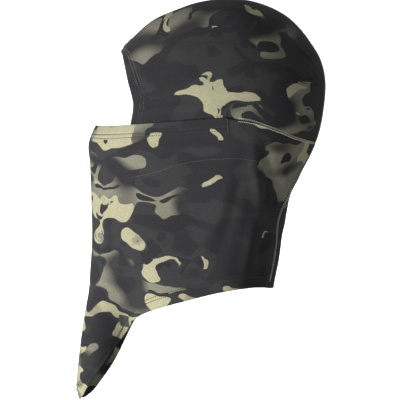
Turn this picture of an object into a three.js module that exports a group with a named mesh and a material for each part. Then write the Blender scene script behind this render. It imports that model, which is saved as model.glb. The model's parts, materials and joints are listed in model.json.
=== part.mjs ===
// A balaclava: a two-panel knit hood sewn to a neck tube that ends in a pointed bib,
// with a face mask that drops below the chin about its two sewn corners.
// Millimetres. The wearer faces -X, their left is -Y, up is +Z.
// The origin is the top of the head, where the inside of the crown rests on it.
import * as THREE from 'three';
import { mergeVertices } from 'three/addons/utils/BufferGeometryUtils.js';

const cloth = 1; // thickness of one layer of knit
const gap = 0.3; // clearance between two pieces that touch
const threadHigh = 0.4;
const threadHalf = 0.5;
const stitchApart = 3.6; // between the two rows of a coverstitch
const faceHemWide = 12;
const maskHemWide = 13;
const bottomHemWide = 14;
const facingSink = 0.6; // how far a turned-in hem lies beneath its cloth
const facingHigh = 0.7;
const maskLift = 3.6; // how far the mask's underside stands off the hood's underside
const cheekClear = 0.8; // how far the hood's cheek is drawn in from the mask's sweep
const neckLift = 6; // the same for the neck tube, where the mask slides beneath it
const hinge = { x: 12.8, z: -126 }; // the sewn corners that the mask turns about
const maskDrop = 38 * Math.PI / 180;
const seamLiftFrom = 0.2; // the lift fades out between these shares of the way to the back
const seamLiftTo = 0.75;
const rightBehind = Math.PI - 0.004; // the tube's join behind, with its own small clearance
const rightAhead = 0.0001; // the middle in front, just off the fold between left and right
const seamTwist = 0.28; // how far the back seam swings to the left on its way to the hem
const browDepth = 48; // the top of the face opening
const browDrop = 12; // from the brow's middle to its corners
const bandEase = 0.8; // a turned-in hem's first edge, short of the fold
const rowInset = 1.5; // the outer row of stitches lies this far from the hem's free edge
const endTrim = 0.01; // share of a row left free at each corner of the mask
const steps = { panel: 20, panelDown: 26, opening: 44, mask: 32, tube: 52, tubeDown: 12 };

const charcoal = 0x2b2b2c;
const slate = 0x3a3a3d;
const khaki = 0x8d8a6e;
const black = 0x121213;

// Side outlines and breadths, as [depth below the crown, value].
const frontOutline = [
  [0, -4], [8, -46.5], [18.5, -73], [28, -87], [36.5, -96], [48, -107], [85, -122],
  [122, -130], [132, -135], [142, -138.5], [158, -137], [200, -135.2], [250, -134.5],
  [285, -137], [310, -141.5], [345, -146], [375, -149.5], [384, -150], [394, -147],
];
const backOutline = [
  [0, -4], [8, 36], [18.7, 55.5], [30, 67.5], [43, 77.5], [61, 88], [83, 92.5], [113, 90],
  [137, 84.5], [153, 78], [173, 67], [190, 57.5], [210, 53], [231, 50], [257, 46.5], [280, 41],
];
const halfBreadth = [
  [0, 0], [8, 38], [20, 56], [40, 68], [60, 73.5], [85, 76.5], [115, 75.5], [140, 72],
  [165, 68], [200, 63], [240, 60], [280, 58], [340, 56], [394, 52],
];
const widestAlong = [[0, -4], [20, 0], [60, 8], [126, 14], [200, 6], [280, 0], [394, -10]];
const frontPower = [[0, 2], [60, 2.2], [105, 2.6], [130, 3], [394, 3]];
const frontFullness = [[0, 0.5], [60, 0.5], [105, 0.6], [130, 0.75], [220, 0.7], [300, 0.5], [394, 0.5]];

// Edges and seams seen from the side, as [how far back, height].
const faceOpening = [
  [-45, -107.3], [-48, -107.1], [-54, -100.5], [-60, -96.7], [-75, -89.5], [-97, -81.5],
  [-115, -83], [-135, -87], [-180, -90],
]; // as [height, how far back]
const maskTop = [[-150, -123.5], [-120, -125.5], [-90, -125.5], [-20, -121.5], [13, -119.8], [30, -119]];
const jawLine = [
  [-150, -176], [-92, -172], [-60, -166], [-35, -159], [-10, -151], [10, -142], [17, -133], [21, -121.5],
];
const sideSeam = [[19, -121], [33, -123], [48, -128], [60, -132.5], [72, -138], [95, -144]];
const jawStitch = [
  [-92, -176], [-60, -170], [-35, -162.5], [-10, -158.5], [20, -157.5], [45, -160], [60, -162],
];
const hemLine = [
  [-156, -394], [-150, -391.5], [-141, -381], [-131, -368], [-121, -353], [-112, -336],
  [-104, -323], [-91, -312], [-66, -302], [-33, -292.5], [2, -283.5], [26, -279.5], [36, -280],
  [44, -283], [50, -283.5],
];

/** A smooth curve through points of [at, value], held level beyond its ends. */
function along(points, at) {
  const last = points.length - 1;
  if (at <= points[0][0]) return points[0][1];
  if (at >= points[last][0]) return points[last][1];
  const i = points.findIndex((point, k) => k < last && at < points[k + 1][0]);
  const slope = (k) => {
    const a = points[Math.max(k - 1, 0)];
    const b = points[Math.min(k + 1, last)];
    return (b[1] - a[1]) / (b[0] - a[0]);
  };
  const [from, low] = points[i];
  const [to, high] = points[i + 1];
  const span = to - from;
  const s = (at - from) / span;
  const bend = (2 * s ** 3 - 3 * s ** 2 + 1) * low + (3 * s ** 2 - 2 * s ** 3) * high;
  return bend + span * ((s ** 3 - 2 * s ** 2 + s) * slope(i) + (s ** 3 - s ** 2) * slope(i + 1));
}

/** The value of an outline at a height. The crown is round, so it goes by the depth's root. */
function outline(points, z) {
  const rooted = points.map(([depth, value]) => [Math.sqrt(depth), value]);
  return along(rooted, Math.sqrt(Math.max(-z, 0)));
}

function fade(from, to, at) {
  return THREE.MathUtils.smoothstep(at, from, to);
}

/** How far out the skin is at a place seen from the side. */
function breadthAt(x, z) {
  const middle = outline(widestAlong, z);
  const ahead = x < middle;
  const edge = outline(ahead ? frontOutline : backOutline, z);
  if (Math.abs(edge - middle) < 0.001) return 0;
  const share = Math.min((x - middle) / (edge - middle), 1);
  const power = ahead ? outline(frontPower, z) : 2; // 2 and a half make an ellipse behind
  const fullness = ahead ? outline(frontFullness, z) : 0.5;
  return outline(halfBreadth, z) * (1 - share ** power) ** fullness;
}

/** A point of the head's skin: turn is 0 ahead, positive round the left, and pi behind. */
function skin(turn, z) {
  const middle = outline(widestAlong, z);
  const edge = outline(Math.cos(turn) > 0 ? frontOutline : backOutline, z);
  const x = middle + (edge - middle) * Math.abs(Math.cos(turn));
  return new THREE.Vector3(x, -Math.sign(Math.sin(turn)) * breadthAt(x, z), z);
}

/** The half-breadths that the mask sweeps through at a place, as it drops over maskDrop. */
function sweptBreadths(x, z) {
  const far = Math.hypot(x - hinge.x, z - hinge.z);
  const now = Math.atan2(hinge.z - z, hinge.x - x);
  const stops = 8;
  const slack = -0.02; // just above the corner line, where the mask's top edge rests
  return Array.from({ length: stops + 1 }, (_, k) => now - (maskDrop * k) / stops)
    .filter((angle) => angle > slack)
    .map((angle) => breadthAt(hinge.x - far * Math.cos(angle), hinge.z - far * Math.sin(angle)));
}

/** The hood's skin, drawn in beneath the mask so that the mask drops past it. */
function hoodSkin(turn, z) {
  const point = skin(turn, z);
  if (z < hinge.z && point.x < hinge.x) {
    const least = Math.min(Math.abs(point.y), ...sweptBreadths(point.x, z));
    const below = fade(0, 12, hinge.z - z);
    const ahead = fade(0, 20, hinge.x - point.x);
    const drawnIn = cheekClear * below * ahead;
    point.y = -Math.sign(Math.sin(turn)) * (least - drawnIn);
  }
  return point;
}

/** The neck tube's skin, full enough for the mask to slide down inside it. */
function neckSkin(turn, z) {
  const lowest = -300; // the mask never reaches below this
  const ridge = -125; // nor is it widest ahead of this
  const point = skin(turn, z);
  if (z > lowest && point.x < hinge.x && point.x > ridge) {
    point.y = -Math.sign(Math.sin(turn)) * Math.max(Math.abs(point.y), ...sweptBreadths(point.x, z));
  }
  return point;
}

/** The outward direction of a skin at a point. */
function outward(surface, turn, z) {
  if (z > -0.01) return new THREE.Vector3(0, 0, 1);
  const side = 0.02;
  const drop = 0.4;
  const across = surface(turn + side, z).sub(surface(turn - side, z));
  const down = surface(turn, z - drop).sub(surface(turn, Math.min(z + drop, 0)));
  return down.cross(across).normalize();
}

function standOff(surface, { turn, z }, height) {
  const point = surface(turn, z);
  return point.addScaledVector(outward(surface, turn, z), height);
}

/** The turn at which a skin passes a place seen from the side. */
function turnAt(x, z) {
  const middle = outline(widestAlong, z);
  const edge = outline(x < middle ? frontOutline : backOutline, z);
  const share = THREE.MathUtils.clamp((x - middle) / (edge - middle), 0, 1);
  return x < middle ? Math.acos(share) : Math.PI - Math.acos(share);
}

/** The height at which a turn of the skin meets a line drawn from the side. */
function heightOn(line, turn) {
  const halvings = 24;
  let z = along(line, 0);
  for (let k = 0; k < halvings; k += 1) {
    z = (z + along(line, skin(turn, z).x)) / 2;
  }
  return z;
}

/** A closed body between two layers of points, each a grid of rows. */
function closedGrid(lower, upper) {
  const rows = lower.length;
  const columns = lower[0].length;
  const points = [...lower.flat(), ...upper.flat()];
  const number = (layer, r, c) => layer * rows * columns + r * columns + c;
  const faces = [];
  const quad = (a, b, c, d) => faces.push([a, b, c], [a, c, d]);
  for (let r = 0; r + 1 < rows; r += 1) {
    for (let c = 0; c + 1 < columns; c += 1) {
      quad(number(0, r, c), number(0, r, c + 1), number(0, r + 1, c + 1), number(0, r + 1, c));
      quad(number(1, r, c), number(1, r + 1, c), number(1, r + 1, c + 1), number(1, r, c + 1));
    }
  }
  for (let c = 0; c + 1 < columns; c += 1) {
    const end = rows - 1;
    quad(number(0, 0, c), number(1, 0, c), number(1, 0, c + 1), number(0, 0, c + 1));
    quad(number(0, end, c), number(0, end, c + 1), number(1, end, c + 1), number(1, end, c));
  }
  for (let r = 0; r + 1 < rows; r += 1) {
    const end = columns - 1;
    quad(number(0, r, 0), number(0, r + 1, 0), number(1, r + 1, 0), number(1, r, 0));
    quad(number(0, r, end), number(1, r, end), number(1, r + 1, end), number(0, r + 1, end));
  }
  return solid(points, faces);
}

/** A closed geometry with shared corners, facing outward. */
function solid(points, faces) {
  const loose = new THREE.BufferGeometry();
  loose.setAttribute('position', new THREE.Float32BufferAttribute(points.flatMap((p) => p.toArray()), 3));
  loose.setIndex(faces.flat());
  const joined = mergeVertices(loose, 0.002); // corners closer than this are one
  const index = Array.from(joined.index.array);
  const kept = [];
  for (let k = 0; k < index.length; k += 3) {
    const [a, b, c] = index.slice(k, k + 3);
    if (a !== b && b !== c && c !== a) kept.push(a, b, c);
  }
  const spot = (k) => new THREE.Vector3().fromBufferAttribute(joined.attributes.position, k);
  let volume = 0;
  for (let k = 0; k < kept.length; k += 3) {
    volume += spot(kept[k]).dot(spot(kept[k + 1]).cross(spot(kept[k + 2])));
  }
  joined.setIndex(volume > 0 ? kept : kept.reverse());
  joined.computeVertexNormals();
  return joined;
}

function look(colour, roughness = 0.9) {
  return new THREE.MeshStandardMaterial({ color: colour, roughness, metalness: 0 });
}

function named(name, geometry, colour) {
  const mesh = new THREE.Mesh(geometry, look(colour));
  mesh.name = name;
  return mesh;
}

/** A layer of cloth over a skin. place gives the turn and height for two shares from 0 to 1. */
function clothLayer(surface, columns, rows, place, under, over) {
  const grid = (height) => Array.from({ length: rows + 1 }, (_, r) => (
    Array.from({ length: columns + 1 }, (_, c) => {
      const spot = place(c / columns, r / rows);
      return standOff(surface, spot, height(surface(spot.turn, spot.z)));
    })));
  return closedGrid(grid(under), grid(over));
}

/** A thin bar laid along a route over a skin. */
function threadBar(surface, count, route, half, under, over) {
  const rings = Array.from({ length: count + 1 }, (_, k) => {
    const share = k / count;
    const spot = route(share);
    const before = route(Math.max(share - 0.5 / count, 0));
    const after = route(Math.min(share + 0.5 / count, 1));
    const ahead = surface(after.turn, after.z).sub(surface(before.turn, before.z)).normalize();
    const up = outward(surface, spot.turn, spot.z);
    const side = new THREE.Vector3().crossVectors(up, ahead).normalize();
    const on = surface(spot.turn, spot.z);
    const corner = (sign, height) => (
      on.clone().addScaledVector(up, height(on)).addScaledVector(side, sign * half));
    return { low: [corner(-1, under), corner(1, under)], high: [corner(-1, over), corner(1, over)] };
  });
  return closedGrid(rings.map((ring) => ring.low), rings.map((ring) => ring.high));
}

const level = (height) => () => height;

/** The neck tube's height off the skin, less behind the mask's corners. */
function neckRise(extra) {
  return ({ x, z }) => {
    const middle = outline(widestAlong, z);
    const behind = (x - middle) / (outline(backOutline, z) - middle);
    return neckLift * (1 - fade(seamLiftFrom, seamLiftTo, behind)) + extra;
  };
}

/** The left piece and its mirror image on the right. */
function pair(name, geometry, colour, shift = 0) {
  const left = geometry.clone().translate(0, -shift, 0);
  const points = left.attributes.position.clone();
  for (let k = 0; k < points.count; k += 1) {
    points.setY(k, -points.getY(k));
  }
  const right = left.clone();
  right.setAttribute('position', points);
  right.setIndex(Array.from(left.index.array).reverse());
  right.computeVertexNormals();
  return [named(`${name}_left`, left, colour), named(`${name}_right`, right, colour)];
}

/** How far the face opening cuts into the hood at a height, as a turn. */
function openingTurn(z) {
  if (z > faceOpening[0][0]) return 0;
  const byDepth = faceOpening.map(([height, x]) => [-height, x]);
  return turnAt(along(byDepth, -z), z);
}

/** Row heights of the hood's panel: close together at the crown and at the brow's corner. */
function hoodRow(share) {
  const brow = 0.42;
  const corner = 0.56;
  const cheek = 115; // from the brow's corners to the cheek
  if (share < brow) return -browDepth * (share / brow) ** 2;
  if (share < corner) return -browDepth - browDrop * ((share - brow) / (corner - brow));
  return -browDepth - browDrop - cheek * ((share - corner) / (1 - corner));
}

/** The hood's lower edge: the cheek beneath the mask ahead of its corner, the side seam behind. */
function hoodEdge(turn) {
  const tuckedUnder = 4;
  const cheek = heightOn(jawLine, turn) - tuckedUnder;
  const seam = heightOn(sideSeam, turn) + gap / 2;
  return THREE.MathUtils.lerp(cheek, seam, fade(-8, 8, skin(turn, hinge.z).x));
}

function hoodPanels() {
  const corner = browDepth + browDrop;
  const place = (across, down) => {
    const row = hoodRow(down);
    const turn = THREE.MathUtils.lerp(openingTurn(row), Math.PI, across);
    const share = Math.max((row + corner) / (hoodRow(1) + corner), 0);
    return { turn, z: row + (hoodEdge(turn) - hoodRow(1)) * share };
  };
  const panel = clothLayer(hoodSkin, steps.panel, steps.panelDown, place, level(0), level(cloth));
  return pair('hood_panel', panel, charcoal, gap / 2);
}

/** The rim of the face opening, from the left jaw over the brow to the right jaw. */
function openingRoute(inset) {
  const lowest = -172;
  const cornerAt = 0.3; // the brow takes this share of each half
  const brow = -browDepth + inset;
  const corner = brow - browDrop;
  return (share) => {
    const side = Math.sign(share - 0.5);
    const way = Math.abs(share - 0.5) * 2;
    const round = Math.min(way / cornerAt, 1);
    const low = (way - cornerAt) / (1 - cornerAt);
    const z = way < cornerAt ? brow - browDrop * round ** 2 : THREE.MathUtils.lerp(corner, lowest, low);
    const onRim = Math.min(z - inset * (1 - round), -browDepth);
    const x = skin(openingTurn(onRim), z).x + inset * round;
    return { turn: side * (way < 0.02 ? rightAhead : turnAt(x, z)), z };
  };
}

function faceHem() {
  const outer = openingRoute(0.6);
  const inner = openingRoute(faceHemWide);
  const sunk = 3 * facingSink; // the tight rim needs more room beneath the cloth
  const place = (across, down) => {
    const a = outer(across);
    const b = inner(across);
    return { turn: THREE.MathUtils.lerp(a.turn, b.turn, down), z: THREE.MathUtils.lerp(a.z, b.z, down) };
  };
  const facing = clothLayer(hoodSkin, steps.opening, 2, place, level(-sunk - facingHigh), level(-sunk));
  const low = cloth + gap;
  const row = (inset) => threadBar(
    hoodSkin, 50, openingRoute(inset), threadHalf, level(low + 0.05), level(low + threadHigh));
  return [
    named('face_hem_facing', facing, black),
    named('face_hem_stitch_outer', row(faceHemWide - 1 - stitchApart), slate),
    named('face_hem_stitch_inner', row(faceHemWide - 1), slate),
  ];
}

/** The band across the mask at a drop below its top edge, from its left corner to its right. */
function maskRoute(drop) {
  const corner = turnAt(hinge.x + 2, hinge.z);
  return (share) => {
    const turn = (share - 0.5) * 2 * corner;
    const z = heightOn(maskTop, Math.abs(turn)) - drop;
    return { turn: Math.abs(turn) < rightAhead ? rightAhead : turn, z };
  };
}

function maskPieces() {
  const insideTube = 3; // the mask runs on down behind the neck tube's edge
  const trimmed = (share) => THREE.MathUtils.lerp(endTrim, 1 - endTrim, share);
  const place = (across, down) => {
    const { turn, z } = maskRoute(0)(across);
    const low = Math.min(heightOn(jawLine, Math.abs(turn)) - insideTube, z - maskHemWide);
    return { turn, z: THREE.MathUtils.lerp(z, low, down) };
  };
  const band = (across, down) => {
    const { turn, z } = maskRoute(bandEase)(trimmed(across));
    return { turn, z: z - down * (maskHemWide - bandEase) };
  };
  const panel = clothLayer(skin, steps.mask, 5, place, level(maskLift), level(maskLift + cloth));
  const under = maskLift - facingSink - 0.05;
  const facing = clothLayer(skin, steps.mask, 1, band, level(under + 0.05 - facingHigh), level(under));
  const top = maskLift + cloth + gap;
  const row = (drop) => {
    const route = maskRoute(drop);
    const inside = (share) => route(trimmed(share));
    return threadBar(skin, steps.mask, inside, threadHalf, level(top), level(top + threadHigh));
  };
  return [
    named('mask_panel', panel, slate),
    named('mask_hem_facing', facing, slate),
    named('mask_stitch_upper', row(maskHemWide - rowInset - stitchApart), black),
    named('mask_stitch_lower', row(maskHemWide - rowInset), black),
  ];
}

/** A dense bar of stitches over each corner of the mask. */
function bartacks() {
  const highest = -120;
  const long = 10;
  const half = 1;
  const high = 0.8;
  const route = (share) => {
    const z = highest - long * share;
    return { turn: turnAt(hinge.x, z), z };
  };
  const top = maskLift + cloth + gap + threadHigh + gap;
  return pair('bartack', threadBar(skin, 3, route, half, level(top), level(top + high)), black);
}

/** The neck tube's upper edge: the jaw line ahead of the mask's corners, the side seam behind. */
function neckTop(turn) {
  const behind = skin(turn, hinge.z).x >= sideSeam[0][0];
  return behind ? heightOn(sideSeam, turn) - gap / 2 : heightOn(jawLine, turn);
}

/** A turn round the whole tube, from its join behind and back to it. */
function wrapTurn(share) {
  const turn = (share - 0.5) * 2 * rightBehind;
  return Math.abs(turn) < rightAhead ? rightAhead : turn;
}

/** A band at a rise above the bottom edge, round the whole tube. */
function hemRoute(rise) {
  return (share) => {
    const turn = wrapTurn(share);
    return { turn, z: heightOn(hemLine, Math.abs(turn)) + rise };
  };
}

function neckPieces() {
  const aboveHem = (steps.tubeDown - 1) / steps.tubeDown;
  const place = (across, down) => {
    const turn = wrapTurn(across);
    const top = neckTop(Math.abs(turn));
    const fold = heightOn(hemLine, Math.abs(turn)) + bottomHemWide;
    const z = down < aboveHem
      ? THREE.MathUtils.lerp(top, fold, down / aboveHem)
      : fold - bottomHemWide * ((down - aboveHem) / (1 - aboveHem));
    return { turn, z };
  };
  const band = (across, down) => {
    const { turn, z } = hemRoute(bandEase)(across);
    return { turn, z: z + down * (bottomHemWide - bandEase) };
  };
  const tube = clothLayer(neckSkin, steps.tube, steps.tubeDown, place, neckRise(0), neckRise(cloth));
  const sunk = 1.3 * facingSink;
  const facing = clothLayer(neckSkin, steps.tube, 1, band, neckRise(-sunk - facingHigh), neckRise(-sunk));
  const low = cloth + 2 * gap;
  const row = (rise) => threadBar(
    neckSkin, steps.tube, hemRoute(rise), threadHalf, neckRise(low), neckRise(low + threadHigh));
  return [
    named('neck_tube', tube, charcoal),
    named('bottom_hem_facing', facing, charcoal),
    named('bottom_stitch_lower', row(bottomHemWide - rowInset - stitchApart), black),
    named('bottom_stitch_upper', row(bottomHemWide - rowInset), black),
  ];
}

/** Each side seam is two rows, from behind the mask's corner to the middle of the back. */
function sideSeams() {
  const fromJoin = 1.6;
  const first = turnAt(24, -122);
  const last = Math.PI - 0.05;
  const low = cloth + gap;
  const route = (offset) => (share) => {
    const turn = THREE.MathUtils.lerp(first, last, share);
    return { turn, z: heightOn(sideSeam, turn) + offset };
  };
  const row = (offset) => threadBar(
    skin, 14, route(offset), threadHalf, neckRise(low), neckRise(low + threadHigh));
  return [
    ...pair('side_seam_upper', row(fromJoin), khaki),
    ...pair('side_seam_lower', row(-fromJoin), khaki),
  ];
}

/** The fine row that shapes the tube along each jaw. */
function jawSeams() {
  const front = -86;
  const back = 56;
  const low = cloth + 1.5 * gap;
  const route = (share) => {
    const x = THREE.MathUtils.lerp(front, back, share);
    const z = along(jawStitch, x);
    return { turn: turnAt(x, z), z };
  };
  const row = threadBar(neckSkin, 22, route, threadHalf, neckRise(low), neckRise(low + threadHigh));
  return pair('jaw_seam', row, charcoal);
}

/** The middle seams lie over both halves, along the crown and down the back to the hem. */
function middleSeams() {
  const half = 1.6;
  const nape = 142; // the depth at which the crown seam meets the side seams
  const backTop = -146;
  const backLong = 130;
  const crownArc = (share) => {
    const ahead = -browDepth * (1 - 2 * share) ** 2;
    const behind = -nape * (2 * share - 1) ** 2;
    return share < 0.5 ? { turn: 0, z: ahead } : { turn: Math.PI, z: behind };
  };
  const backLine = (share) => {
    const twist = seamTwist * fade(0, 0.5, share);
    return { turn: Math.PI - twist, z: backTop - backLong * share };
  };
  const lay = cloth + 3 * gap + threadHigh;
  const bar = (count, route) => threadBar(skin, count, route, half, level(lay), level(lay + threadHigh));
  return [
    named('crown_seam', bar(40, crownArc), slate),
    named('back_seam', bar(16, backLine), khaki),
  ];
}

/** A plain woven tab on the bib's hem, and a plain care tape inside the back of the neck. */
function labels() {
  const tab = { front: -108, top: -309, wide: 11, long: 11, slope: 1.5, thick: 0.6 };
  const tape = { fromBack: 0.12, top: -160, wide: 0.22, long: 22, thick: 0.6 };
  const onTab = (across, down) => {
    const z = tab.top - tab.long * down - tab.slope * across;
    return { turn: turnAt(tab.front + tab.wide * across, z), z };
  };
  const onTape = (across, down) => (
    { turn: Math.PI - tape.fromBack - tape.wide * across, z: tape.top - tape.long * down });
  const lay = cloth + 3 * gap + threadHigh;
  const patch = clothLayer(neckSkin, 2, 2, onTab, neckRise(lay), neckRise(lay + tab.thick));
  const care = clothLayer(skin, 2, 3, onTape, level(-facingSink - tape.thick), level(-facingSink));
  return [named('hem_label', patch, black), named('care_label', care, slate)];
}

const balaclava = new THREE.Group();
balaclava.name = 'balaclava';
balaclava.add(
  ...hoodPanels(),
  ...faceHem(),
  ...maskPieces(),
  ...bartacks(),
  ...neckPieces(),
  ...sideSeams(),
  ...jawSeams(),
  ...middleSeams(),
  ...labels(),
);
export default balaclava;
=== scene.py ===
import bmesh
import bpy
import json
import math
import numpy as np
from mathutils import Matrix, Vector


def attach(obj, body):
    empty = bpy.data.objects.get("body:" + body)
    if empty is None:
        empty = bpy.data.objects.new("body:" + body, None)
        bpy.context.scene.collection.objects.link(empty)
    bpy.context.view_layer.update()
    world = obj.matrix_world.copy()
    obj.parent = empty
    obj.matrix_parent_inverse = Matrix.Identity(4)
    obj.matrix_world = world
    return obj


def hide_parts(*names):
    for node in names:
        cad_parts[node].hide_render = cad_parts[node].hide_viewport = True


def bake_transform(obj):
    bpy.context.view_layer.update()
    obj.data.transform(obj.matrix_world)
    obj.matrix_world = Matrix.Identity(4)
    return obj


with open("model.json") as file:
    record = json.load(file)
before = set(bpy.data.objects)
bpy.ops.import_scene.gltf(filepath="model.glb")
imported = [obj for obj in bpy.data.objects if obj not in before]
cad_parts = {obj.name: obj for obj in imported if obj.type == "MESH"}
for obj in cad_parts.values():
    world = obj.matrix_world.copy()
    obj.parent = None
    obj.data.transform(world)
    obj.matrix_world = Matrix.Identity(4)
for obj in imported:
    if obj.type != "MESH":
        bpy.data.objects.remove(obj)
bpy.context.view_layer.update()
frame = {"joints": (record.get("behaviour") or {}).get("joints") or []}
mm = 0.001

# The balaclava in millimetres: the wearer faces -X, their left is -Y, and the crown is at the origin.

hinge = np.array(frame["joints"][0]["pos_m"]) / mm  # the mask's sewn corners lie on this line
widestDrop = math.radians(38)  # how far the mask turns down

shape = {
    "front": [(0, -4), (8, -46.5), (18.5, -73), (28, -87), (36.5, -96), (48, -107), (85, -122),
              (122, -130), (132, -135), (142, -138.5), (158, -137), (200, -135.2), (250, -134.5),
              (285, -137), (310, -141.5), (345, -146), (375, -149.5), (384, -150), (394, -147)],
    "back": [(0, -4), (8, 36), (18.7, 55.5), (30, 67.5), (43, 77.5), (61, 88), (83, 92.5), (113, 90),
             (137, 84.5), (153, 78), (173, 67), (190, 57.5), (210, 53), (231, 50), (257, 46.5), (280, 41)],
    "halfBreadth": [(0, 0), (8, 38), (20, 56), (40, 68), (60, 73.5), (85, 76.5), (115, 75.5), (140, 72),
                    (165, 68), (200, 63), (240, 60), (280, 58), (340, 56), (394, 52)],
    "widestAlong": [(0, -4), (20, 0), (60, 8), (126, 14), (200, 6), (280, 0), (394, -10)],
    "frontPower": [(0, 2), (60, 2.2), (105, 2.6), (130, 3), (394, 3)],
    "frontFullness": [(0, 0.5), (60, 0.5), (105, 0.6), (130, 0.75), (220, 0.7), (300, 0.5), (394, 0.5)],
    "pinchDepth": [(0, 0), (235, 0), (285, 0.3), (310, 0.62), (335, 0.74), (360, 0.5), (394, 0.1)],
    "pinchAt": -98, "pinchReach": 32,  # the loose bib curls in towards its free edge
    "hemUneven": 8.5, "hemLower": 0.65,  # the right half of the hem hangs higher there, the left half lower
    "hemUnevenAt": -109, "hemUnevenReach": 20,
    "seamTwist": 0.28,  # how far the back seam swings to the left on its way to the hem
}

edges = {
    "faceOpening": [(45, -107.3), (48, -107.1), (54, -100.5), (60, -96.7), (75, -89.5), (97, -81.5),
                    (115, -83), (135, -87), (180, -90)],  # (depth, how far back)
    "maskTop": [(-150, -123.5), (-120, -125.5), (-90, -125.5), (-20, -121.5), (13, -119.8), (30, -119)],
    "jawLine": [(-150, -180), (-92, -176), (-60, -170), (-35, -163), (-10, -158), (20, -157.5)],
    "sideSeam": [(12, -119.8), (19, -121), (33, -123), (48, -128), (60, -132.5), (72, -138), (95, -144)],
    "jawStitch": [(-92, -176), (-60, -170), (-35, -162.5), (-10, -158.5), (20, -157.5), (45, -160),
                  (60, -162)],
    "hem": [(-156, -399), (-150, -397), (-141, -388), (-131, -373), (-121, -355), (-112, -337),
            (-104, -324), (-91, -312), (-66, -302), (-33, -292.5), (2, -283.5), (26, -279.5), (36, -280),
            (44, -283), (50, -283.5)],
}


def along(points, at):
    # A smooth curve through (at, value) points: a cubic between each two, held level past the ends.
    x, y = np.array(points, float).T
    slope = np.gradient(y, x)
    slope[1:-1] = (y[2:] - y[:-2]) / (x[2:] - x[:-2])
    at = np.clip(at, x[0], x[-1])
    i = np.clip(np.searchsorted(x, at, side="right") - 1, 0, len(x) - 2)
    span = x[i + 1] - x[i]
    s = (at - x[i]) / span
    value = (2 * s**3 - 3 * s**2 + 1) * y[i] + (3 * s**2 - 2 * s**3) * y[i + 1]
    return value + span * ((s**3 - 2 * s**2 + s) * slope[i] + (s**3 - s**2) * slope[i + 1])


def outline(key, z):
    # The crown is round, so the outlines go by the root of the depth.
    x, y = np.array(shape[key], float).T
    return along(np.stack([np.sqrt(x), y], 1), np.sqrt(np.maximum(-z, 0)))


def fade(a, b, at):
    t = np.clip((at - a) / (b - a), 0, 1)
    return t * t * (3 - 2 * t)


def unit(vectors):
    return vectors / np.maximum(np.linalg.norm(vectors, axis=-1, keepdims=True), 1e-12)


def breadthAt(x, z):
    # Half-breadth = breadth at that height * (1 - share ** power) ** fullness, where share is the way to the
    # outline, times 1 - curl, a bump exp(-(distance / reach)^2) at the bib.
    middle = outline("widestAlong", z)
    ahead = x < middle
    edge = np.where(ahead, outline("front", z), outline("back", z))
    share = np.clip((x - middle) / np.where(np.abs(edge - middle) < 1e-6, 1e-6, edge - middle), 0, 1)
    power = np.where(ahead, outline("frontPower", z), 2)
    fullness = np.where(ahead, outline("frontFullness", z), 0.5)
    curl = outline("pinchDepth", z) * np.exp(-(((x - shape["pinchAt"]) / shape["pinchReach"]) ** 2))
    return outline("halfBreadth", z) * (1 - share**power) ** fullness * (1 - curl)


def skin(turn, z):
    # turn is 0 ahead, positive round the left and pi behind; x runs between the outlines by its cosine.
    middle = outline("widestAlong", z)
    edge = np.where(np.cos(turn) > 0, outline("front", z), outline("back", z))
    x = middle + (edge - middle) * np.abs(np.cos(turn))
    return np.stack([x, -np.sign(np.sin(turn)) * breadthAt(x, z), z + 0 * x], -1)


def turnAt(x, z):
    middle = outline("widestAlong", z)
    edge = np.where(x < middle, outline("front", z), outline("back", z))
    share = np.clip((x - middle) / (edge - middle), 0, 1)
    return np.where(x < middle, np.arccos(share), np.pi - np.arccos(share))


def heightOn(line, turn):
    # The height at which a turn of the skin meets a line drawn from the side, by halving the error.
    turn = np.abs(turn)
    z = along(edges[line], 0 * turn)
    for _ in range(24):
        z = (z + along(edges[line], skin(turn, z)[..., 0])) / 2
    return z


def hemShift(x, turn):
    # The bottom edge is raised on the right and lowered on the left by a bump exp(-(distance / reach)^2).
    near = np.exp(-(((x - shape["hemUnevenAt"]) / shape["hemUnevenReach"]) ** 2))
    return near * shape["hemUneven"] * np.where(turn < 0, 1, -shape["hemLower"])


def hemHeight(turn):
    z = heightOn("hem", turn)
    return z + hemShift(skin(turn, z)[..., 0], turn)


def outward(surface, turn, z):
    across = surface(turn + 0.01, z) - surface(turn - 0.01, z)
    down = surface(turn, z - 0.2) - surface(turn, np.minimum(z + 0.2, -1e-4))
    return unit(np.where((z > -0.05)[..., None], [0.0, 0.0, 1.0], np.cross(down, across)))


def waves(points, size, seed, count=40):
    # Smooth random field of unit spread: a sum of cosines along random directions near one wavelength.
    rng = np.random.default_rng(seed)
    way = rng.normal(size=(count, 3))
    way *= (2 * np.pi / rng.uniform(0.7, 1.5, count) / np.linalg.norm(way, axis=1))[:, None]
    scaled = points / np.array(size)
    return np.cos(scaled @ way.T + rng.uniform(0, 2 * np.pi, count)).sum(-1) / math.sqrt(count / 2)


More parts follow.
